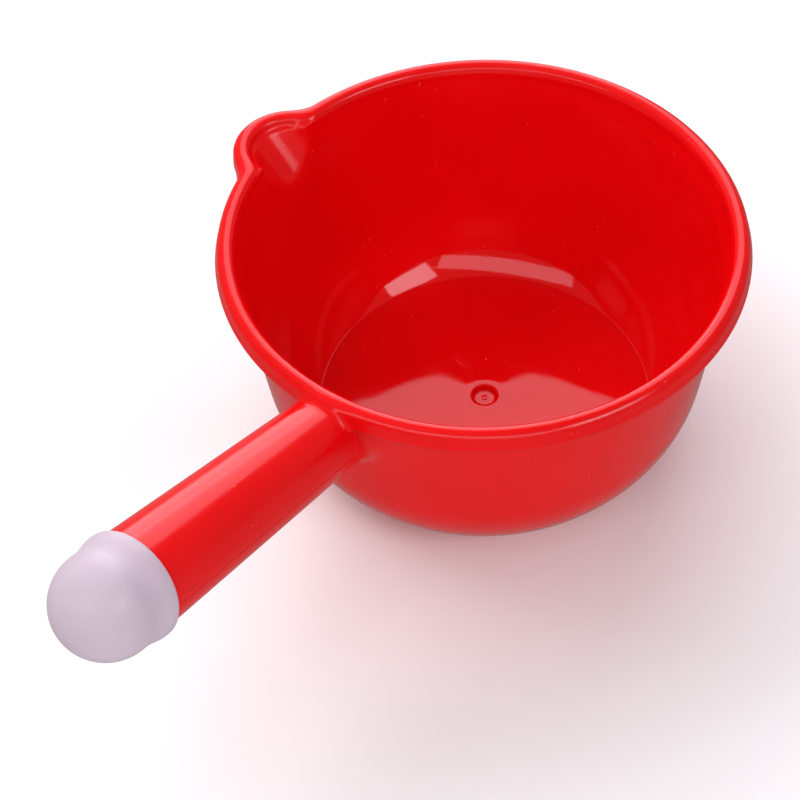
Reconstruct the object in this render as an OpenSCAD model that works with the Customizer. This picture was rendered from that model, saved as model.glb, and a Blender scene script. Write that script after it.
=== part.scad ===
// Long-handled water dipper: a round bowl with a rolled rim, a pouring spout at its side and a
// hollow tapered handle, moulded in one, and a ball-ended cap that plugs the handle's open end.
// Frame: +Z up, origin at the middle of the foot. The handle points along -Y, the spout along -X.

/* [Bowl] */
// Outer radius of the rim, over the roll
rim_r = 90; // [89:0.5:91]
// Height of the rim above the surface the foot stands on
rim_z = 88; // [87:0.5:89]
// Wall thickness of the bowl
wall_t = 2.4; // [2:0.1:2.6]
// Height of the floor's upper face above the foot
floor_z = 4.6; // [4.2:0.1:5.2]
// Thickness of the floor
floor_t = 2.4; // [2:0.1:2.8]
// Lean of the upper wall out from upright, in degrees
wall_lean = 8; // [7.5:0.1:8.5]
// Radius of the rounded lower corner
corner_r = 50; // [48:1:52]
// Height at which the lower corner becomes the straight wall, outside
corner_top_z = 32.2; // [31:0.2:33]
// Outer radius of the wall at that height
corner_top_r = 77.7; // [77:0.1:78]

/* [Rim] */
// Radius of the roll along the top of the rim
roll_r = 3; // [2.8:0.1:3.2]
// Depth of the rim's skirt below the top of the rim
skirt_h = 6.6; // [6:0.1:7.5]
// Distance that the skirt's lower edge flares out past the roll
skirt_out = 1; // [0.6:0.1:1.2]
// Thickness of the skirt
skirt_t = 1.8; // [1.5:0.1:2]

/* [Gate recess] */
// Radius of the round recess in the middle of the floor
gate_r = 4.6; // [4:0.1:5.2]
// Depth of that recess below the floor
gate_depth = 1.8; // [1.4:0.1:2]
// Outer radius of the low crown round the recess
crown_r = 8.4; // [7.5:0.1:9.5]
// Height of the crown above the floor
crown_h = 0.4; // [0.2:0.1:0.6]

/* [Spout] */
// Outer radius of the spout's lip, seen from above
spout_r = 19.3; // [18.8:0.1:19.8]
// Reach of the spout from the bowl's axis
spout_reach = 100.8; // [100.2:0.1:101.4]
// Turn of the spout towards the handle from square to it, in degrees
spout_turn = 1.3; // [0:0.1:2]
// Lean of the spout's trough from upright, in degrees
spout_lean = 40; // [38:1:42]

/* [Handle] */
// Slope of the handle's axis above level, in degrees
handle_slope = 13.8; // [13:0.1:14.5]
// Height of the handle's axis where the handle's length starts
handle_z = 68.9; // [68:0.1:69.5]
// Distance from the bowl's axis to where the handle's length starts
handle_y = 80; // [79:0.5:81]
// Length of the handle from there to its open end
handle_len = 105.7; // [100:0.1:110]
// Outer radius of the handle where its length starts
handle_r0 = 13.5; // [13.2:0.1:13.8]
// Outer radius of the handle at its open end
handle_r1 = 16.7; // [16.2:0.1:17]
// Wall thickness of the handle
handle_t = 2; // [1.8:0.1:2.2]

/* [End cap] */
// Radius of the cap's ball
ball_r = 17.3; // [17.2:0.1:17.6]
// Distance of the ball's centre past the handle's end
ball_at = 12.1; // [11.8:0.1:12.6]
// Largest radius of the collar next to the handle
collar_r = 18.4; // [18.2:0.1:18.8]
// Distance of the collar's widest place past the handle's end
collar_at = 2.2; // [2:0.1:2.5]
// Length of the spigot that goes into the handle
spigot_len = 16; // [12:1:18]
// Radial clearance between the spigot and its bore
spigot_gap = 0.05; // [0.02:0.01:0.1]
// Wall thickness of the spigot
spigot_t = 1.7; // [1.5:0.1:2]

/* [Hidden] */

round_fn = 128;
roll_fn = 40;
overlap = 0.02;
above = 2;

// The lower corner is an arc that runs into the straight, leaning wall. The inner corner is the
// same arc, moved in by the wall's thickness and up by the floor's. The wall's line cuts the arc by
// a hair, so that the two cross instead of only touching.
line_cut = 0.03;
wall_top_z = rim_z - roll_r;
inner_step = wall_t / cos(wall_lean);
function wall_r(z) = corner_top_r + (z - corner_top_z) * tan(wall_lean);
function inner_r(z) = wall_r(z) - inner_step;
function corner_centre(r, z) = [r - corner_r * cos(wall_lean), z + corner_r * sin(wall_lean)];
inner_top_z = corner_top_z + floor_t;
outer_centre = corner_centre(corner_top_r, corner_top_z);
inner_centre = corner_centre(inner_r(inner_top_z), inner_top_z);

// The wall flares out a little to meet the roll.
flare_h = 8;
flare_z = wall_top_z - flare_h;
roll_cr = rim_r - roll_r;
mouth_r = roll_cr - roll_r;
skirt_in = 0.2;

// The foot is a ring, with the underside of the floor raised inside it. Under the gate recess a
// boss keeps the floor's thickness.
foot_r = outer_centre[0] + sqrt(pow(corner_r, 2) - pow(outer_centre[1], 2));
foot_w = 6;
under_z = floor_z - floor_t;
recess_z = floor_z - gate_depth;
crown_w = 0.6;
boss_w = 2.4;
boss_t = 1.6;
boss_r = gate_r + boss_w;
boss_z = recess_z - boss_t;
vestige_r = 0.8;
vestige_h = 0.5;

// The spout's lip repeats the rim's roll and skirt on a smaller circle, a hair lower. Its trough
// is a leaning half pipe that starts on the inner side of the lip's roll and runs down into the
// bowl's inner wall. It bites into the roll a little, so that the two don't just touch.
lip_drop = 0.2;
lip_out = 0.4;
lip_cr = spout_r - roll_r;
lip_x = spout_reach - spout_r;
lip_z = wall_top_z - lip_drop;
trough_bite = 0.2;
trough_r = lip_cr - roll_r + trough_bite;
trough_off = roll_r - trough_bite + trough_r;
trough_x = spout_reach - roll_r - trough_off * cos(spout_lean);
trough_z = lip_z + trough_off * sin(spout_lean);
trough_len = 50;
trough_back = 8;

// The handle starts inside the bowl's wall. Its bore has a straight stretch for the spigot.
handle_root = 15;
handle_taper = (handle_r1 - handle_r0) / handle_len;
bore_start = 8;
bore_ease = 0.3;
bore_r = handle_r1 - handle_t - bore_ease;
bore_step = 0.6;
socket_spare = 2;
socket_len = spigot_len + socket_spare;

// The cap stops a hair short of the handle's end. Its collar is one arc from the edge.
seat_gap = 0.1;
cap_edge_out = 0.8;
cap_edge_r = handle_r1 + cap_edge_out;
collar_rise = collar_r - cap_edge_r;
bulge_r = (pow(collar_at - seat_gap, 2) + pow(collar_rise, 2)) / (2 * collar_rise);
waist_r = 17;
spigot_r = bore_r - spigot_gap;
core_r = spigot_r - spigot_t;
core_ahead = 2;
core_at = ball_at + core_ahead;
cap_lap = 1;

// Half cross-section of a bowl filled to the axis: a rounded lower corner under a leaning wall.
module bowl_shape(centre, radius, tangent_z, wall_line) {
    intersection() {
        polygon(wall_line);
        union() {
            translate(centre) circle(r = radius, $fn = round_fn);
            square([centre[0], tangent_z]);
            translate([0, tangent_z]) square([rim_r, rim_z]);
        }
    }
}

// The bowl's outer shape below the roll.
module bowl_outline() {
    bowl_shape(outer_centre, corner_r, corner_top_z, [
        [0, 0],
        [wall_r(0) - line_cut, 0],
        [wall_r(flare_z) - line_cut, flare_z],
        [mouth_r + wall_t, wall_top_z],
        [0, wall_top_z]
    ]);
}

// The bowl's hollow, grown into the wall by a given amount.
module bowl_hollow(grow = 0) {
    low_z = floor_z - grow;
    side = grow / cos(wall_lean) - line_cut;
    bowl_shape(inner_centre, corner_r + grow, inner_top_z, [
        [0, low_z],
        [inner_r(low_z) + side, low_z],
        [inner_r(flare_z) + side, flare_z],
        [mouth_r + grow, wall_top_z],
        [mouth_r + grow, rim_z + above],
        [0, rim_z + above]
    ]);
}

// Half cross-section of a rolled edge: the roll, and the skirt that flares down from its outer side.
module rolled_edge(centre_r, out) {
    translate([centre_r, wall_top_z]) circle(r = roll_r, $fn = roll_fn);
    polygon([
        [centre_r + roll_r - skirt_t, wall_top_z],
        [centre_r + roll_r - skirt_in, wall_top_z],
        [centre_r + roll_r + out, rim_z - skirt_h],
        [centre_r + roll_r + out - skirt_t, rim_z - skirt_h]
    ]);
}

// Half cross-section of the floor's middle: the crown round the gate recess, and the boss below.
module gate_section() {
    polygon([
        [0, floor_z - overlap],
        [crown_r, floor_z - overlap],
        [gate_r + crown_w, floor_z + crown_h],
        [0, floor_z + crown_h]
    ]);
    translate([0, boss_z]) square([boss_r, floor_z - boss_z]);
}

// Half cross-section of the whole bowl: wall, floor, rolled rim, foot ring and gate recess.
module bowl_section() {
    difference() {
        union() {
            difference() {
                union() {
                    bowl_outline();
                    rolled_edge(roll_cr, skirt_out);
                }
                bowl_hollow();
                square([foot_r - foot_w, under_z]);
            }
            gate_section();
        }
        translate([0, recess_z]) square([gate_r, gate_depth + above]);
    }
    translate([0, recess_z - overlap]) square([vestige_r, vestige_h + overlap]);
}

// Places its children at a distance along the handle's axis, with +Z along the axis.
module on_handle(distance = 0) {
    translate([0, -handle_y, handle_z])
        rotate([90 - handle_slope, 0, 0])
            translate([0, 0, distance])
                children();
}

// A leaning round bar along the spout's trough, from above the lip down into the bowl.
module trough_bar(r) {
    translate([-trough_x, 0, trough_z])
        rotate([0, 180 - spout_lean, 0])
            translate([0, 0, -trough_back])
                cylinder(r = r, h = trough_len + trough_back, $fn = round_fn);
}

// The outside of the spout: its lip, and the shell of the trough under it.
module spout_shell() {
    translate([-lip_x, 0, -lip_drop]) rotate_extrude($fn = round_fn) rolled_edge(lip_cr, lip_out);
    intersection() {
        trough_bar(trough_r + wall_t);
        translate([-rim_r - spout_r, -spout_r, 0]) cube([rim_r, 2 * spout_r, lip_z]);
    }
}

// The handle's outside, from inside the bowl's wall to the open end.
module handle_bar() {
    on_handle(-handle_root)
        cylinder(
            r1 = handle_r0 - handle_root * handle_taper,
            r2 = handle_r1,
            h = handle_len + handle_root,
            $fn = round_fn
        );
}

// The handle's hollow: a tapered core, and the straight socket for the spigot.
module handle_bore() {
    on_handle(bore_start)
        cylinder(
            r1 = handle_r0 - handle_t,
            r2 = bore_r - bore_step,
            h = handle_len - socket_len - bore_start + overlap,
            $fn = round_fn
        );
    on_handle(handle_len - socket_len) cylinder(r = bore_r, h = socket_len + above, $fn = round_fn);
}

module dipper_body() {
    color("#de1419") difference() {
        union() {
            rotate_extrude($fn = round_fn) bowl_section();
            difference() {
                union() {
                    rotate([0, 0, spout_turn]) spout_shell();
                    handle_bar();
                }
                rotate_extrude($fn = round_fn) bowl_hollow(wall_t / 2);
            }
        }
        rotate([0, 0, spout_turn]) trough_bar(trough_r);
        handle_bore();
    }
}

module end_cap() {
    color("#efe6ee") on_handle(handle_len) rotate_extrude($fn = round_fn) difference() {
        union() {
            intersection() {
                union() {
                    translate([0, ball_at]) circle(r = ball_r, $fn = round_fn);
                    translate([collar_r - bulge_r, collar_at]) circle(r = bulge_r, $fn = round_fn);
                    translate([0, collar_at]) square([waist_r, ball_at - collar_at]);
                }
                translate([0, seat_gap]) square([collar_r + above, ball_at + ball_r]);
            }
            translate([0, seat_gap - overlap]) square([cap_edge_r, cap_lap]);
            translate([0, -spigot_len]) square([spigot_r, spigot_len + cap_lap]);
        }
        translate([0, -spigot_len - above]) square([core_r, core_at + spigot_len + above]);
        translate([0, core_at]) circle(r = core_r, $fn = round_fn);
    }
}

dipper_body();
end_cap();
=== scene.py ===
"""Visual model of a long-handled water dipper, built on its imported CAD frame.

Sizes below are in millimetres, in the frame's own axes: +Z up, the handle along -Y and the spout
along -X. They are turned into metres when a mesh is made. The dipper's seamless moulding is one
mesh: turned surfaces for the lower bowl, a surface extracted from a distance function where the
rim, spout and handle blend into each other, and a turned tube for the rest of the handle.
"""
import math

import bmesh
import bpy
import numpy as np
from mathutils import Matrix, Vector


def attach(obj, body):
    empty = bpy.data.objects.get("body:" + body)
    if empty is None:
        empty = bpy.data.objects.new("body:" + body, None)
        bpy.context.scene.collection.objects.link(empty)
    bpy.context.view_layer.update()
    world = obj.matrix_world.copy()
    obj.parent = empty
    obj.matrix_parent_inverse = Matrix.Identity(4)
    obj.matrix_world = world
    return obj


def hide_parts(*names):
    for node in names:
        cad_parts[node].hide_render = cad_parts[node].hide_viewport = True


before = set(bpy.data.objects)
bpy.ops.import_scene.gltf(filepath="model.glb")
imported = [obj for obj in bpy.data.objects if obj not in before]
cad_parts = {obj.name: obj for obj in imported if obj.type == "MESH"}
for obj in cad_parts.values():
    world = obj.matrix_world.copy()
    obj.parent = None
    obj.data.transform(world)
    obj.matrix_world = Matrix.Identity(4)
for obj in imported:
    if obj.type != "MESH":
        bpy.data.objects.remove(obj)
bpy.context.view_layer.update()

MM = 0.001

# Bowl
RIM_Z = 88.0
ROLL_R = 3.0
ROLL_CR = 87.0
ROLL_Z = RIM_Z - ROLL_R
WALL_T = 2.4
FLOOR_Z = 4.6
UNDER_Z = 2.2
WALL_LEAN = math.radians(8)
FLARE_Z = 77.0
FLARE = 0.16
FLARE_SOFTNESS = 3
CORNER_R = 50.0
CORNER_TOP_Z = 32.2
CORNER_TOP_R = 77.7
INNER_TOP_Z = CORNER_TOP_Z + WALL_T
FOOT_W = 6.0
SKIRT_H = 6.6
SKIRT_OUT = 1.0
LIP_SKIRT_OUT = 0.4
SKIRT_T = 1.6
SKIRT_IN = 0.2
SKIRT_INTO_ROLL = 0.6
EDGE_R = 0.35
# Gate recess in the middle of the floor
GATE_R = 4.6
GATE_Z = 2.8
CROWN_R = 8.4
CROWN_H = 0.25
BOSS_R = 7.0
BOSS_Z = 1.2
VESTIGE_R = 0.8
VESTIGE_H = 0.5
# Spout
SPOUT_TURN = math.radians(1.3)
LIP_CR = 16.3
LIP_X = 81.5
SPOUT_LEAN = math.radians(40)
TROUGH_R = 13.4
TROUGH_BITE = 0.2
TROUGH_OFF = ROLL_R + TROUGH_R - TROUGH_BITE
NOSE_LENGTH = 6
# Handle
SLOPE = math.radians(13.8)
HANDLE_START = np.array([0.0, -80.0, 68.9])
HANDLE_LEN = 105.7
HANDLE_R0 = 13.5
HANDLE_R1 = 16.7
BORE_R = 14.4
SOCKET_SPARE = 2
SOCKET_STEP = 0.6
HANDLE_T = 2
# The parting line along the handle: where it turns, half its width and height, how far back its
# climb lies, and the climb's first and last angle above the handle's side, in degrees
LINE_START = 12.5
LINE_W = 0.3
LINE_H = 0.2
LINE_BACK = 1
CLIMB_FROM, CLIMB_TO = 60, 5
# Cap, measured along the handle from its open end
SPIGOT_LEN = 16.0
SPIGOT_R = 14.35
CORE_R = 12.65
CORE_AT = 14.1
SEAT_GAP = 0.1
COLLAR_R = 18.4
COLLAR_AT = 2.2
BALL_R = 17.29
BALL_AT = 12.1
COLLAR_CURVE = 0.045
SHOULDER = 1.1
WAIST_FILLET = 2.4
CAP_STEPS = 256

# Directions along the handle's axis, across it, and square to both, on its upper side.
AXIS = np.array([0.0, -math.cos(SLOPE), math.sin(SLOPE)])
ACROSS = np.array([1.0, 0.0, 0.0])
ABOVE = np.cross(AXIS, ACROSS)

# Fillets where the moulding's parts meet. Near the handle, the roll and the skirt have wider webs.
WALL_TOP_FILLET = 0.5
LIP_FILLET = 5
SHELL_EDGE = 0.8
SHELL_INNER_EDGE = 0.4
SHELL_FILLET = 2.5
HANDLE_FILLET = 6
TROUGH_EDGE = 1.6
ROLL_FILLET = 1.2
ROLL_WEB = 3
SKIRT_FILLET = 0.8
SKIRT_WEB = 0.8
WEB_REACH = 7
WEB_FADE = 2

# Resolution of the moulding's mesh
STEPS = 540
CELL = 0.5
AXIS_GAP = 0.15
GRID_R = (76.5, 103.0)
GRID_Z = (48.0, 91.0)


# ------------------------------------------------------------------------------ distance function

def smooth_min(a, b, k):
    """The union of two distances, with a fillet of about k."""
    h = np.clip(0.5 + 0.5 * (b - a) / k, 0, 1)
    return b + (a - b) * h - k * h * (1 - h)


def smooth_max(a, b, k):
    """The overlap of two distances, with a rounded edge of about k."""
    return -smooth_min(-a, -b, k)


def wall_radius(z):
    """Outer radius of the wall, which flares a little under the roll."""
    past = np.minimum(z, ROLL_Z) - FLARE_Z
    flare = FLARE * 0.5 * (past + np.sqrt(past * past + FLARE_SOFTNESS))
    return CORNER_TOP_R + (z - CORNER_TOP_Z) * math.tan(WALL_LEAN) + flare


def skirt_distance(r, z, out):
    """Distance to the skirt, a thin slab that flares down from the roll."""
    lean = np.arctan2(out + SKIRT_IN, SKIRT_H - ROLL_R)
    dr = r - (ROLL_CR + ROLL_R + out - SKIRT_T / 2)
    dz = z - (RIM_Z - SKIRT_H + EDGE_R)
    length = SKIRT_H - ROLL_R + SKIRT_INTO_ROLL
    off = np.abs(dr * np.cos(lean) + dz * np.sin(lean)) - (SKIRT_T / 2 - EDGE_R)
    past = np.abs(dz * np.cos(lean) - dr * np.sin(lean) - length / 2) - length / 2
    corner = np.hypot(np.maximum(off, 0), np.maximum(past, 0))
    return corner + np.minimum(np.maximum(off, past), 0) - EDGE_R


def handle_radius(along):
    return HANDLE_R0 + (HANDLE_R1 - HANDLE_R0) * along / HANDLE_LEN


def body_distance(x, y, z):
    """Distance, negative inside, to the moulding near its rim, spout and handle."""
    r = np.hypot(x, y)
    outer = (r - wall_radius(z)) * math.cos(WALL_LEAN)
    inner = outer + WALL_T
    wall = smooth_max(np.maximum(outer, -inner), z - ROLL_Z, WALL_TOP_FILLET)
    # Out along the spout, and across it.
    out = -(x * math.cos(SPOUT_TURN) + y * math.sin(SPOUT_TURN))
    side = -x * math.sin(SPOUT_TURN) + y * math.cos(SPOUT_TURN)
    # The roll's path in plan is the outline of the rim's and the lip's circles, blended.
    nose = np.hypot(out - LIP_X, side) - LIP_CR
    edge = smooth_min(r - ROLL_CR, nose, LIP_FILLET)
    roll = np.hypot(edge, z - ROLL_Z) - ROLL_R
    at_nose = np.clip((out - ROLL_CR) / NOSE_LENGTH, 0, 1)
    skirt = skirt_distance(edge + ROLL_CR, z, SKIRT_OUT + (LIP_SKIRT_OUT - SKIRT_OUT) * at_nose)
    # The trough is a leaning pipe that starts on the roll's inner side.
    along_out = out - (LIP_X + LIP_CR - TROUGH_OFF * math.cos(SPOUT_LEAN))
    along_up = z - (ROLL_Z + TROUGH_OFF * math.sin(SPOUT_LEAN))
    trough = np.hypot(along_out * math.cos(SPOUT_LEAN) - along_up * math.sin(SPOUT_LEAN), side)
    shell = smooth_max(trough - TROUGH_R - WALL_T, z - ROLL_Z, SHELL_EDGE)
    body = smooth_min(wall, smooth_max(shell, -inner, SHELL_INNER_EDGE), SHELL_FILLET)
    # The handle grows out of the wall and runs up over the roll's outer side.
    px, py, pz = x - HANDLE_START[0], y - HANDLE_START[1], z - HANDLE_START[2]
    along = py * AXIS[1] + pz * AXIS[2]
    up = py * ABOVE[1] + pz * ABOVE[2]
    handle = np.maximum(np.hypot(px, up) - handle_radius(along), WALL_T / 2 - inner)
    body = smooth_min(body, handle, HANDLE_FILLET)
    body = np.maximum(body, -inner)
    body = smooth_max(body, TROUGH_R - trough, TROUGH_EDGE)
    # Outside the wall, near the handle, the roll and the skirt run into it in wider webs.
    near = np.clip(1 - handle / WEB_REACH, 0, 1) * np.clip((outer + WEB_FADE) / WEB_FADE, 0, 1)
    body = smooth_min(body, roll, ROLL_FILLET + ROLL_WEB * near)
    return smooth_min(body, skirt, SKIRT_FILLET + SKIRT_WEB * near)


def body_normals(points):
    """Unit gradients of the distance function, and their sizes before scaling."""
    step = 0.03
    grad = np.zeros_like(points)
    for i in range(3):
        ahead, behind = points.copy(), points.copy()
        ahead[:, i] += step
        behind[:, i] -= step
        grad[:, i] = (body_distance(*ahead.T) - body_distance(*behind.T)) / (2 * step)
    size = np.linalg.norm(grad, axis=1)[:, None]
    return grad / np.maximum(size, 1e-9), size


def settle(points, limit):
    """Moves points onto the surface of the distance function, no further than limit."""
    start = points.copy()
    for _ in range(5):
        normal, size = body_normals(points)
        points = points - normal * body_distance(*points.T)[:, None] / np.maximum(size, 0.4)
    shift = points - start
    far = np.linalg.norm(shift, axis=1)[:, None]
    return start + shift * np.minimum(1, limit / np.maximum(far, 1e-9))


# ------------------------------------------------------------------------------------ mesh helpers

class Builder:
    """Collects points and faces, in millimetres, for one mesh."""

    def __init__(self):
        self.points = []
        self.count = 0
        self.faces = []

    def add(self, points):
        """Adds points and returns their numbers."""
        first = self.count
        self.points.append(np.asarray(points, float))
        self.count += len(points)
        return np.arange(first, self.count)

    def strip(self, ring_a, ring_b):
        """Joins two closed rings of equal length with quads."""
        quads = np.stack([ring_a, np.roll(ring_a, -1), np.roll(ring_b, -1), ring_b], 1)
        self.faces.extend(quads.tolist())

    def rings(self, rings, start=None):
        """Joins rings of points one after another, from start if given, and closes the last."""
        last = start
        for ring in rings:
            numbers = self.add(ring)
            if last is not None:
                self.strip(last, numbers)
            last = numbers
        self.faces.append(last.tolist())

    def build(self, name, material, body):
        mesh = bpy.data.meshes.new(name)
        mesh.from_pydata((np.concatenate(self.points) * MM).tolist(), [], self.faces)
        shape = bmesh.new()
        shape.from_mesh(mesh)
        bmesh.ops.recalc_face_normals(shape, faces=shape.faces)
        shape.to_mesh(mesh)
        shape.free()
        mesh.shade_smooth()
        piece = bpy.data.objects.new(name, mesh)
        bpy.context.scene.collection.objects.link(piece)
        mesh.materials.append(material)
        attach(piece, body)
        return piece


def arc(centre, radius, first, last, count):
    """Points on an arc in the profile plane, with angles in degrees."""
    angles = np.radians(np.linspace(first, last, count))
    return [(centre[0] + radius * math.cos(a), centre[1] + radius * math.sin(a)) for a in angles]


def rounded(corners, radius, count=5):
    """A profile with small arcs at its inner corners. Each corner is (r, z) or (r, z, radius)."""
    out = [corners[0][:2]]
    for before, corner, after in zip(corners, corners[1:], corners[2:]):
        size = corner[2] if len(corner) > 2 else radius
        here = Vector(corner[:2])
        a = (Vector(before[:2]) - here).normalized()
        b = (Vector(after[:2]) - here).normalized()
        half = a.angle(b) / 2
        if size <= 0 or half > math.radians(88):
            out.append(tuple(here))
            continue
        reach = size / math.tan(half)
        centre = here + (a + b).normalized() * (size / math.sin(half))
        first, last = here + a * reach - centre, here + b * reach - centre
        turn = first.angle_signed(last)
        for i in range(count):
            step = Matrix.Rotation(-turn * i / (count - 1), 2) @ first
            out.append(tuple(centre + step))
    out.append(corners[-1][:2])
    return out


def turned(profile, angles):
    """Rings of a profile of (r, z) points, turned about Z at the given angles."""
    cos, sin = np.cos(angles), np.sin(angles)
    return [np.stack([r * cos, r * sin, np.full(len(angles), z)], 1) for r, z in profile]


def about_handle(profile, angles):
    """Rings of a profile of (r, distance) points, turned about the handle's axis."""
    rings = []
    for r, distance in profile:
        centre = HANDLE_START + AXIS * distance
        rings.append(centre + r * (np.outer(np.cos(angles), ACROSS) + np.outer(np.sin(angles), ABOVE)))
    return rings


# ------------------------------------------------------------------------------- the dipper's parts

def rim_zone(mesh):
    """Extracts the rim, spout and handle root.

    Returns the mesh's open rings: the outer wall's, the inner wall's and the handle's.
    """
    theta = np.arange(STEPS) * 2 * math.pi / STEPS
    rad = np.arange(GRID_R[0], GRID_R[1] + CELL / 2, CELL)
    ups = np.arange(GRID_Z[0], GRID_Z[1] + CELL / 2, CELL)
    T, R, Z = np.meshgrid(theta, rad, ups, indexing="ij")
    F = body_distance(R * np.cos(T), R * np.sin(T), Z)
    G = np.concatenate([F, F[:1]], 0)
    shape = (STEPS, len(rad) - 1, len(ups) - 1)
    # A vertex for each cell that the surface crosses, at the mean of its edges' crossings.
    total = np.zeros(shape + (3,))
    hits = np.zeros(shape)
    corners = [(a, b, c) for a in (0, 1) for b in (0, 1) for c in (0, 1)]
    edges = [
        (p, q) for p in corners for q in corners
        if sum(q) - sum(p) == 1 and all(u <= v for u, v in zip(p, q))
    ]
    for p, q in edges:
        fp = G[p[0]:p[0] + STEPS, p[1]:p[1] + shape[1], p[2]:p[2] + shape[2]]
        fq = G[q[0]:q[0] + STEPS, q[1]:q[1] + shape[1], q[2]:q[2] + shape[2]]
        cross = (fp < 0) != (fq < 0)
        t = np.where(cross, fp / np.where(cross, fp - fq, 1), 0)
        for i in range(3):
            total[..., i] += np.where(cross, p[i] + t * (q[i] - p[i]), 0)
        hits += cross
    live = np.argwhere(hits > 0)
    place = total[hits > 0] / hits[hits > 0][:, None] + live
    angle = place[:, 0] * 2 * math.pi / STEPS
    r, z = GRID_R[0] + place[:, 1] * CELL, GRID_Z[0] + place[:, 2] * CELL
    points = settle(np.stack([r * np.cos(angle), r * np.sin(angle), z], 1), CELL)
    number = np.full(shape, -1)
    number[hits > 0] = mesh.add(points)
    # A quad for each grid edge that the surface crosses, between the four cells round it.
    inside = F < 0

    def quads(first, second, cells):
        cross = first != second
        at = np.argwhere(cross)
        flip = first[cross]
        quad = np.stack([number[cells(at, step)] for step in ((0, 0), (1, 0), (1, 1), (0, 1))], 1)
        keep = (quad >= 0).all(1)
        quad[~flip] = quad[~flip][:, ::-1]
        mesh.faces.extend(quad[keep].tolist())

    quads(inside[:, 1:-1, 1:-1], np.roll(inside, -1, 0)[:, 1:-1, 1:-1],
          lambda at, s: (at[:, 0], at[:, 1] + s[0], at[:, 2] + s[1]))
    quads(inside[:, :-1, 1:-1], inside[:, 1:, 1:-1],
          lambda at, s: ((at[:, 0] - 1 + s[1]) % STEPS, at[:, 1], at[:, 2] + s[0]))
    quads(inside[:, 1:-1, :-1], inside[:, 1:-1, 1:],
          lambda at, s: ((at[:, 0] - 1 + s[0]) % STEPS, at[:, 1] + s[1], at[:, 2]))
    # The wall's two rings at the bottom of the grid, and the handle's ring at its outer side.
    low = inside[0, :, 0]
    inner_j = int(np.argmax(low)) - 1
    outer_j = len(low) - 1 - int(np.argmax(low[::-1]))
    outer_ring, inner_ring = number[:, outer_j, 0], number[:, inner_j, 0]
    side = inside[:, -1, :]
    changes = set()
    for i, k in np.argwhere(side != np.roll(side, -1, 0)):
        changes.update([(i, k - 1), (i, k)])
    for i, k in np.argwhere(side[:, :-1] != side[:, 1:]):
        changes.update([((i - 1) % STEPS, k), (i, k)])
    handle_ring = np.array(sorted({number[i, -1, k] for i, k in changes}))
    return outer_ring, inner_ring, handle_ring[handle_ring >= 0]


def bowl_profiles():
    """The profiles of the bowl outside and inside, from just under the rim zone down to the axis.

    A corner's third number is the radius of its rounding.
    """
    lean = math.degrees(WALL_LEAN)
    start_z = GRID_Z[0] - 0.6
    drop = CORNER_R * math.sin(WALL_LEAN)
    out_c = (CORNER_TOP_R - CORNER_R * math.cos(WALL_LEAN), CORNER_TOP_Z + drop)
    in_top_r = wall_radius(INNER_TOP_Z) - WALL_T / math.cos(WALL_LEAN)
    in_c = (in_top_r - CORNER_R * math.cos(WALL_LEAN), INNER_TOP_Z + drop)
    foot = math.degrees(math.asin(out_c[1] / CORNER_R))
    floor = math.degrees(math.asin((in_c[1] - FLOOR_Z) / CORNER_R))
    down = np.linspace(start_z, INNER_TOP_Z + 1, 6)
    outside = [(wall_radius(z), z) for z in down]
    outside += arc(out_c, CORNER_R, -lean, -foot + 0.8, 34)
    foot_r = out_c[0] + CORNER_R * math.cos(math.radians(foot))
    outside += rounded([
        outside[-1],
        (foot_r, 0, 0.6),
        (foot_r - FOOT_W, 0, 0.5),
        (foot_r - FOOT_W - 0.6, UNDER_Z, 0.5),
        (BOSS_R + 0.5, UNDER_Z, 0.4),
        (BOSS_R, BOSS_Z, 0.3),
        (AXIS_GAP, BOSS_Z)
    ], 0.3)[1:]
    inside = [(wall_radius(z) - WALL_T / math.cos(WALL_LEAN), z) for z in down]
    inside += arc(in_c, CORNER_R, -lean, -floor + 0.8, 34)
    floor_r = in_c[0] + CORNER_R * math.cos(math.radians(floor))
    inside += rounded([
        inside[-1],
        (floor_r, FLOOR_Z, 0.7),
        (40, FLOOR_Z, 0),
        (20, FLOOR_Z, 0),
        (CROWN_R, FLOOR_Z, 4),
        (GATE_R + 0.2, FLOOR_Z + CROWN_H, 0.9),
        (GATE_R - 0.7, GATE_Z, 1.0),
        (VESTIGE_R, GATE_Z, 0.15),
        (VESTIGE_R - 0.1, GATE_Z + VESTIGE_H, 0.15),
        (AXIS_GAP, GATE_Z + VESTIGE_H)
    ], 0.3)[1:]
    return outside, inside


def dipper_body(material):
    mesh = Builder()
    outer_ring, inner_ring, handle_ring = rim_zone(mesh)
    angles = (np.arange(STEPS) + 0.5) * 2 * math.pi / STEPS
    outside, inside = bowl_profiles()
    mesh.rings(turned(outside, angles), start=outer_ring)
    mesh.rings(turned(inside, angles), start=inner_ring)
    # The handle carries on from its ring as a tube about its own axis, out to its open end and
    # back down its bore.
    ring = np.concatenate(mesh.points)[handle_ring] - HANDLE_START
    around = np.arctan2(ring @ ABOVE, ring @ ACROSS)
    order = np.argsort(around)
    first = (ring @ AXIS).max() + 1
    outer = [(handle_radius(s), s) for s in np.linspace(first, HANDLE_LEN - 1, 24)]
    socket = HANDLE_LEN - SPIGOT_LEN - SOCKET_SPARE
    end = rounded([
        outer[-1],
        (handle_radius(HANDLE_LEN), HANDLE_LEN, 0.4),
        (BORE_R, HANDLE_LEN, 0.4),
        (BORE_R, socket, 0.2),
        (BORE_R - SOCKET_STEP, socket, 0.2),
        (handle_radius(first) - HANDLE_T, first + HANDLE_T, 0.3),
        (AXIS_GAP, first + HANDLE_T)
    ], 0.3)
    mesh.rings(about_handle(outer + end[1:], around[order]), start=handle_ring[order])
    piece = mesh.build("dipper_moulding", material, "dipper")
    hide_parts("dipper_body")


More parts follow.
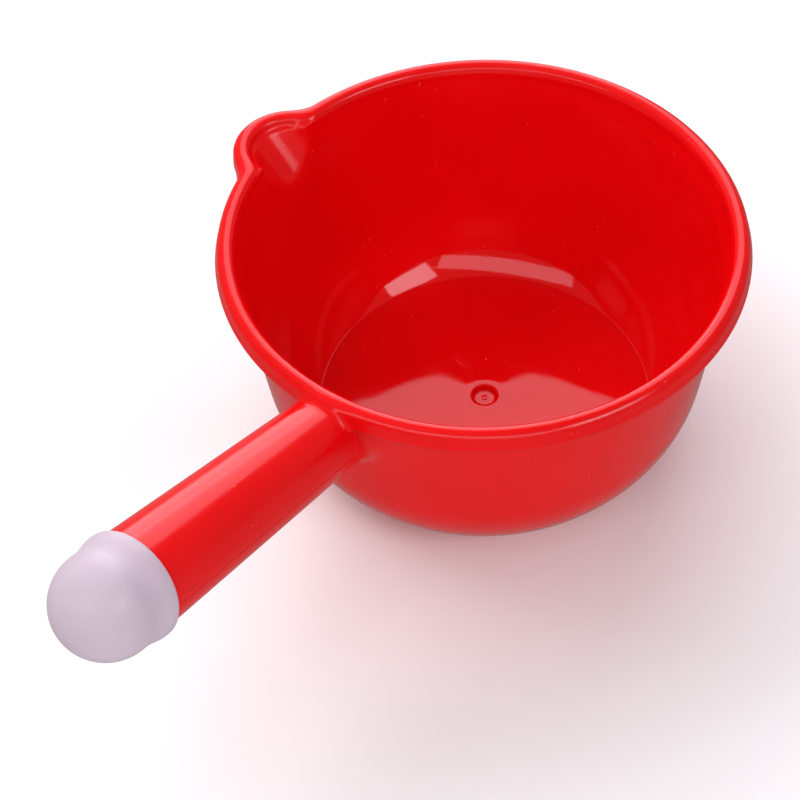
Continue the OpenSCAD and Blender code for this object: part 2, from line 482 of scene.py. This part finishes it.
def cap_radius(s):
    """Outer radius of the cap: a collar with a round shoulder, a soft waist and a ball."""
    collar = COLLAR_R - COLLAR_CURVE * (s - COLLAR_AT) ** 2
    shoulder = np.clip(1 - (s - SEAT_GAP) / SHOULDER, 0, 1)
    collar -= 1 - math.sqrt(1 - shoulder ** 2)
    ball = math.sqrt(max(BALL_R ** 2 - (s - BALL_AT) ** 2, 0))
    return float(smooth_max(np.array(collar), np.array(ball), WAIST_FILLET))


def end_cap(material):
    # From the hollow's mouth round the spigot's end, up its side and out along the collar's face.
    profile = [(CORE_R, CORE_AT), (CORE_R, 0), (CORE_R, -SPIGOT_LEN + 0.4), (CORE_R + 0.4, -SPIGOT_LEN)]
    profile += [(SPIGOT_R - 0.5, -SPIGOT_LEN), (SPIGOT_R, -SPIGOT_LEN + 0.8), (SPIGOT_R, SEAT_GAP - 0.3)]
    profile += [(SPIGOT_R + 0.3, SEAT_GAP), (cap_radius(SEAT_GAP) - 0.3, SEAT_GAP)]
    # Then over the shoulder, the waist and the ball.
    shoulder = SEAT_GAP + SHOULDER * np.linspace(0, 1, 9) ** 2
    steps = np.concatenate([shoulder, np.linspace(1.6, BALL_AT, 26)])
    profile += [(cap_radius(s), s) for s in steps]
    profile += [(r, BALL_AT + s) for r, s in arc((0, 0), BALL_R, 3, 89.5, 40)]
    hollow = [(r, CORE_AT + s) for r, s in arc((0, 0), CORE_R, 89, 4, 16)]
    profile = [(r, HANDLE_LEN + s) for r, s in hollow + profile]
    angles = np.arange(CAP_STEPS) * 2 * math.pi / CAP_STEPS
    mesh = Builder()
    mesh.rings(about_handle(profile, angles))
    mesh.faces.append(np.arange(CAP_STEPS)[::-1].tolist())
    piece = mesh.build("cap_moulding", material, "cap")
    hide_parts("end_cap")


def parting_lines(material):
    """The fine raised line that the mould's split leaves along both sides of the handle.

    Near the bowl it turns and climbs round the handle towards its top.
    """
    mesh = Builder()
    turn = np.arange(6) * 2 * math.pi / 6
    for sign in (1, -1):
        reach = np.linspace(LINE_START, HANDLE_LEN - 0.6, 60)
        path = [HANDLE_START + AXIS * s + ACROSS * sign * (handle_radius(s) - 0.05) for s in reach]
        climb = []
        for angle in np.radians(np.linspace(CLIMB_FROM, CLIMB_TO, 16)):
            outward = ACROSS * sign * math.cos(angle) + ABOVE * math.sin(angle)
            climb.append(HANDLE_START + AXIS * (LINE_START - LINE_BACK) + outward * handle_radius(LINE_START))
        climb = settle(np.array(climb), 2)
        points = np.concatenate([climb, np.array(path)])
        normals, _ = body_normals(points)
        normals[len(climb):] = ACROSS * sign
        ahead = np.gradient(points, axis=0)
        ahead /= np.linalg.norm(ahead, axis=1)[:, None]
        beside = np.cross(ahead, normals)
        rings = [
            p + LINE_W * np.outer(np.cos(turn), b) + LINE_H * np.outer(np.sin(turn), n)
            for p, b, n in zip(points, beside, normals)
        ]
        mesh.rings(rings)
    mesh.build("parting_line", material, "dipper")


# ---------------------------------------------------------------------------------------- materials

class Nodes:
    """Short calls for building a material's node tree."""

    def __init__(self, name):
        self.material = bpy.data.materials.new(name)
        self.material.use_nodes = True
        self.tree = self.material.node_tree
        self.shader = self.tree.nodes["Principled BSDF"]
        self.place = self.add("ShaderNodeTexCoord").outputs["Object"]

    def add(self, kind, **settings):
        node = self.tree.nodes.new(kind)
        for key, value in settings.items():
            setattr(node, key, value)
        return node

    def link(self, source, target):
        self.tree.links.new(source, target)

    def noise(self, scale, detail=3, roughness=0.5):
        node = self.add("ShaderNodeTexNoise")
        self.link(self.place, node.inputs["Vector"])
        for key, value in (("Scale", scale), ("Detail", detail), ("Roughness", roughness)):
            node.inputs[key].default_value = value
        return node.outputs["Fac"]

    def range(self, value, low, high, to_low, to_high):
        node = self.add("ShaderNodeMapRange")
        node.inputs["From Min"].default_value = low
        node.inputs["From Max"].default_value = high
        node.inputs["To Min"].default_value = to_low
        node.inputs["To Max"].default_value = to_high
        self.link(value, node.inputs["Value"])
        return node.outputs["Result"]

    def math(self, operation, a, b=0.0):
        node = self.add("ShaderNodeMath", operation=operation)
        for socket, value in zip(node.inputs, (a, b)):
            if isinstance(value, (int, float)):
                socket.default_value = value
            else:
                self.link(value, socket)
        return node.outputs["Value"]

    def mix(self, amount, first, second):
        node = self.add("ShaderNodeMix", data_type="RGBA")
        self.link(amount, node.inputs["Factor"])
        for socket, value in zip((node.inputs[6], node.inputs[7]), (first, second)):
            if isinstance(value, tuple):
                socket.default_value = value + (1,)
            else:
                self.link(value, socket)
        return node.outputs[2]

    def bump(self, height, strength, distance, below=None):
        node = self.add("ShaderNodeBump")
        node.inputs["Strength"].default_value = strength
        node.inputs["Distance"].default_value = distance
        self.link(height, node.inputs["Height"])
        if below is not None:
            self.link(below, node.inputs["Normal"])
        return node.outputs["Normal"]

    def specks(self, scale, size, share):
        """Sparse small dots, as a mask: a share of the cells of a Voronoi pattern."""
        node = self.add("ShaderNodeTexVoronoi")
        self.link(self.place, node.inputs["Vector"])
        node.inputs["Scale"].default_value = scale
        dot = self.range(node.outputs["Distance"], size * 0.5, size, 1, 0)
        split = self.add("ShaderNodeSeparateColor")
        self.link(node.outputs["Color"], split.inputs["Color"])
        chosen = self.math("LESS_THAN", split.outputs["Red"], share)
        return self.math("MULTIPLY", dot, chosen)

    def scratches(self, scale, stretch, turn):
        """Fine broken lines in one direction, as a mask."""
        mapping = self.add("ShaderNodeMapping")
        mapping.inputs["Rotation"].default_value = (0, 0, turn)
        mapping.inputs["Scale"].default_value = (1, stretch, 1)
        self.link(self.place, mapping.inputs["Vector"])
        node = self.add("ShaderNodeTexNoise")
        node.inputs["Scale"].default_value = scale
        node.inputs["Detail"].default_value = 1
        self.link(mapping.outputs["Vector"], node.inputs["Vector"])
        return self.range(node.outputs["Fac"], 0.70, 0.74, 0, 1)


def red_plastic():
    """Glossy red polypropylene: polished low in the bowl, satin higher up, with specks and scuffs."""
    n = Nodes("red_plastic_gloss")
    xyz = n.add("ShaderNodeSeparateXYZ")
    n.link(n.place, xyz.inputs["Vector"])
    cloud = n.noise(14, 4, 0.55)
    deep, bright = (0.70, 0.0010, 0.0022), (0.77, 0.0016, 0.0035)
    colour = n.mix(n.range(cloud, 0.35, 0.65, 0, 1), deep, bright)
    dots = n.specks(420, 0.16, 0.05)
    colour = n.mix(n.math("MULTIPLY", dots, 0.5), colour, (0.85, 0.16, 0.15))
    n.link(colour, n.shader.inputs["Base Color"])
    # The mould was polished for the floor and the lower wall; above them the gloss is softer.
    polished = n.range(xyz.outputs["Z"], 0.016, 0.060, 1, 0)
    satin = n.range(n.noise(55, 6, 0.65), 0.35, 0.7, 0.15, 0.23)
    polish = n.range(n.noise(90, 3, 0.5), 0.3, 0.7, 0.02, 0.045)
    rough = n.math("ADD", n.math("MULTIPLY", satin, n.math("SUBTRACT", 1.0, polished)),
                   n.math("MULTIPLY", polish, polished))
    scuffs = n.math("MAXIMUM", n.scratches(60, 28, 0.5), n.scratches(75, 34, 2.1))
    rough = n.math("ADD", rough, n.math("MULTIPLY", scuffs, 0.05))
    n.link(rough, n.shader.inputs["Roughness"])
    waves = n.bump(n.noise(38, 2, 0.4), 0.25, 0.0004)
    grain = n.bump(n.noise(2600, 2, 0.6), 0.05, 0.00006, waves)
    pits = n.bump(n.math("SUBTRACT", dots, n.math("MULTIPLY", scuffs, 0.1)), 0.3, 0.00006, grain)
    n.link(pits, n.shader.inputs["Normal"])
    n.shader.inputs["IOR"].default_value = 1.49
    n.shader.inputs["Specular IOR Level"].default_value = 0.34
    n.shader.inputs["Subsurface Weight"].default_value = 0.06
    n.shader.inputs["Subsurface Radius"].default_value = (1.0, 0.12, 0.1)
    n.shader.inputs["Subsurface Scale"].default_value = 0.002
    return n.material


def white_plastic():
    """Satin white plastic with a faint violet cast, fine grain and faint patches."""
    n = Nodes("white_plastic_satin")
    cloud = n.noise(30, 5, 0.6)
    colour = n.mix(n.range(cloud, 0.35, 0.7, 0, 1), (0.59, 0.49, 0.56), (0.54, 0.43, 0.51))
    dots = n.specks(500, 0.15, 0.03)
    colour = n.mix(n.math("MULTIPLY", dots, 0.4), colour, (0.5, 0.44, 0.5))
    n.link(colour, n.shader.inputs["Base Color"])
    n.link(n.range(n.noise(70, 5, 0.6), 0.3, 0.7, 0.34, 0.5), n.shader.inputs["Roughness"])
    grain = n.bump(n.noise(1900, 2, 0.6), 0.10, 0.00008)
    n.link(n.bump(dots, 0.2, 0.00006, grain), n.shader.inputs["Normal"])
    n.shader.inputs["IOR"].default_value = 1.5
    n.shader.inputs["Subsurface Weight"].default_value = 0.15
    n.shader.inputs["Subsurface Radius"].default_value = (1.0, 0.75, 0.8)
    n.shader.inputs["Subsurface Scale"].default_value = 0.003
    return n.material


def paper():
    """Plain pale studio floor, with a barely visible paper grain."""
    n = Nodes("studio_paper")
    n.link(n.mix(n.noise(6, 3), (0.84, 0.84, 0.84), (0.88, 0.88, 0.88)), n.shader.inputs["Base Color"])
    n.link(n.bump(n.noise(900, 3), 0.05, 0.0001), n.shader.inputs["Normal"])
    n.shader.inputs["Roughness"].default_value = 0.8
    return n.material


# ------------------------------------------------------------------------------------------- stage

def floor_sheet():
    size = 6.0
    mesh = bpy.data.meshes.new("studio_floor")
    # A hair below the foot, so that the two faces don't coincide.
    z = -0.0002
    corners = [(-size, -size, z), (size, -size, z), (size, size, z), (-size, size, z)]
    mesh.from_pydata(corners, [], [(0, 1, 2, 3)])
    mesh.materials.append(paper())
    sheet = bpy.data.objects.new("studio_floor", mesh)
    # The plastic mirrors the room's even grey instead of the bright sheet.
    sheet.visible_glossy = False
    bpy.context.scene.collection.objects.link(sheet)


def direction(azimuth, elevation):
    """Unit vector from the object to a viewer. Azimuth 0 is on the -Y side, 90 on the +X side."""
    a, e = math.radians(azimuth), math.radians(elevation)
    return Vector((math.sin(a) * math.cos(e), -math.cos(a) * math.cos(e), math.sin(e)))


def softbox(name, azimuth, elevation, distance, size, power, mirrored=True):
    """An area light aimed at the bowl. Gloss shows it unless mirrored is false."""
    light = bpy.data.lights.new(name, "AREA")
    light.shape = "RECTANGLE"
    light.size, light.size_y = size
    light.energy = power
    # The sources that gloss shows are slightly violet.
    light.color = (0.97, 0.93, 1) if mirrored else (1, 1, 1)
    lamp = bpy.data.objects.new(name, light)
    lamp.visible_glossy = mirrored
    aim = Vector((0, -0.03, 0.05))
    lamp.location = aim + direction(azimuth, elevation) * distance
    lamp.rotation_euler = (lamp.location - aim).to_track_quat("Z", "Y").to_euler()
    bpy.context.scene.collection.objects.link(lamp)


def room(strength):
    world = bpy.data.worlds.new("studio")
    world.use_nodes = True
    background = world.node_tree.nodes["Background"]
    background.inputs["Color"].default_value = (1, 1, 1, 1)
    background.inputs["Strength"].default_value = strength
    bpy.context.scene.world = world


def camera():
    """The camera stands where the photographer's did: its axis, roll and lens are set here."""
    azimuth, elevation, roll = 38.08, 49.08, math.radians(-3.07)
    aim = Vector((5.5, -56.9, 60.0)) * MM
    distance = 0.801
    back = direction(azimuth, elevation)
    right = Vector((0, 0, 1)).cross(back).normalized()
    up = back.cross(right)
    turned_right = right * math.cos(roll) + up * math.sin(roll)
    turned_up = back.cross(turned_right)
    lens = bpy.data.cameras.new("camera")
    lens.lens = 108.25
    lens.sensor_width = 36
    eye = bpy.data.objects.new("camera", lens)
    axes = Matrix((turned_right, turned_up, back)).transposed().to_4x4()
    eye.matrix_world = Matrix.Translation(aim + back * distance) @ axes
    bpy.context.scene.collection.objects.link(eye)
    bpy.context.scene.camera = eye


red = red_plastic()
dipper_body(red)
parting_lines(red)
end_cap(white_plastic())
floor_sheet()
camera()
# A tall source behind left, brightest low down; a strip at the front below the camera; a small
# panel at the right; and fill from the left, the front and above that gloss doesn't show.
room(0.26)
softbox("back_left_low", -140, 15, 1.6, (1.1, 0.75), 7.5)
softbox("back_left", -150, 42, 1.6, (1.3, 1.0), 10)
softbox("left_fill", -95, 40, 1.6, (1.4, 1.0), 16, mirrored=False)
softbox("front_fill", 35, 14, 1.6, (1.2, 0.6), 4, mirrored=False)
softbox("top_fill", -40, 72, 1.6, (1.3, 0.8), 5, mirrored=False)
softbox("front_strip", 20, 40, 1.6, (2.2, 0.36), 7)
softbox("right", 84, 37, 1.6, (0.7, 0.4), 6)
bpy.context.scene.view_settings.view_transform = "Standard"
